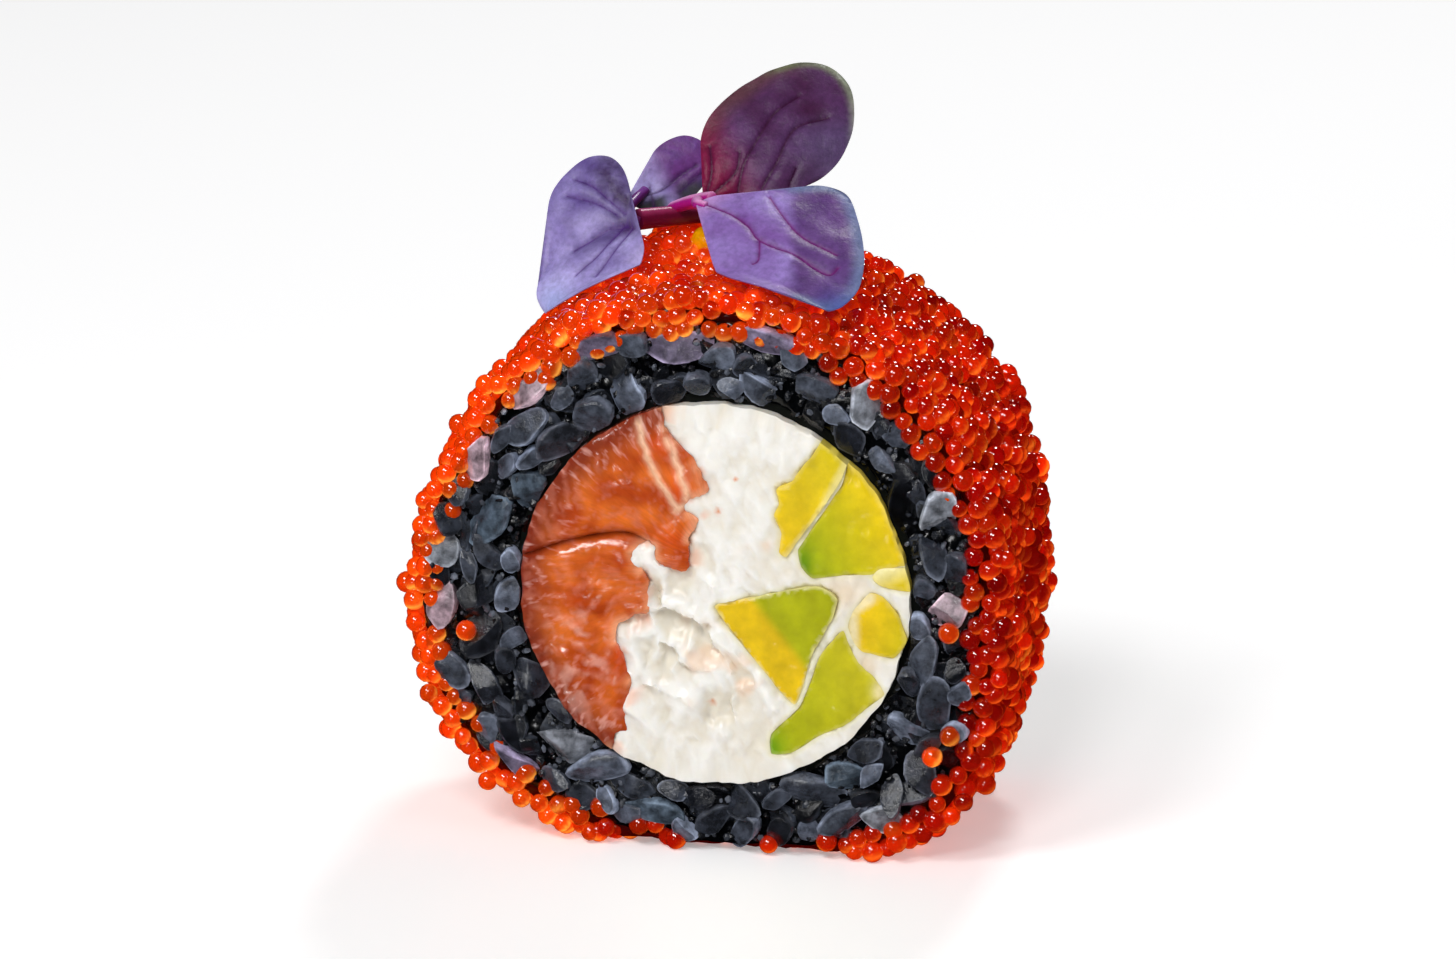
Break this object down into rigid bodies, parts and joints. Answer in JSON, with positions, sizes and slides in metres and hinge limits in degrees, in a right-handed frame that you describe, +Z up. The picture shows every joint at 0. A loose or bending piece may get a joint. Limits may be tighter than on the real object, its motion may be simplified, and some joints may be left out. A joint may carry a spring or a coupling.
{
  "type": "california roll",
  "caption": "One slice of inside-out sushi roll coated in fish roe, with black rice round salmon, cream cheese and avocado, and small leaves on top.",
  "frame": {"origin": "middle of the flat patch of the coat on which the slice rests", "axes": "+X to the right across the shown cut face, +Y along the roll's axis away from the shown face, +Z up"},
  "size_m": [0.0503, 0.0248, 0.0593],
  "materials": {
    "roe": "wet, translucent fish roe",
    "rice": "moist black rice",
    "nori": "damp seaweed sheet",
    "salmon": "fresh raw salmon, moist",
    "cheese": "torn cream cheese",
    "avocado": "ripe avocado flesh, buttery",
    "sprout": "purple seed leaves and stems",
    "sauce": "glossy yellow sauce"
  },
  "bodies": {
    "root": {"roe_crust": "roe", "black_rice": "rice", "nori_band": "nori", "salmon_upper": "salmon", "salmon_lower": "salmon", "cream_cheese": "cheese", "avocado_strip": "avocado", "avocado_wedge": "avocado", "avocado_sliver": "avocado", "avocado_middle": "avocado", "avocado_right": "avocado", "avocado_lower": "avocado", "sprout_left": "sprout", "sprout_right": "sprout"}
  },
  "joints": []
}
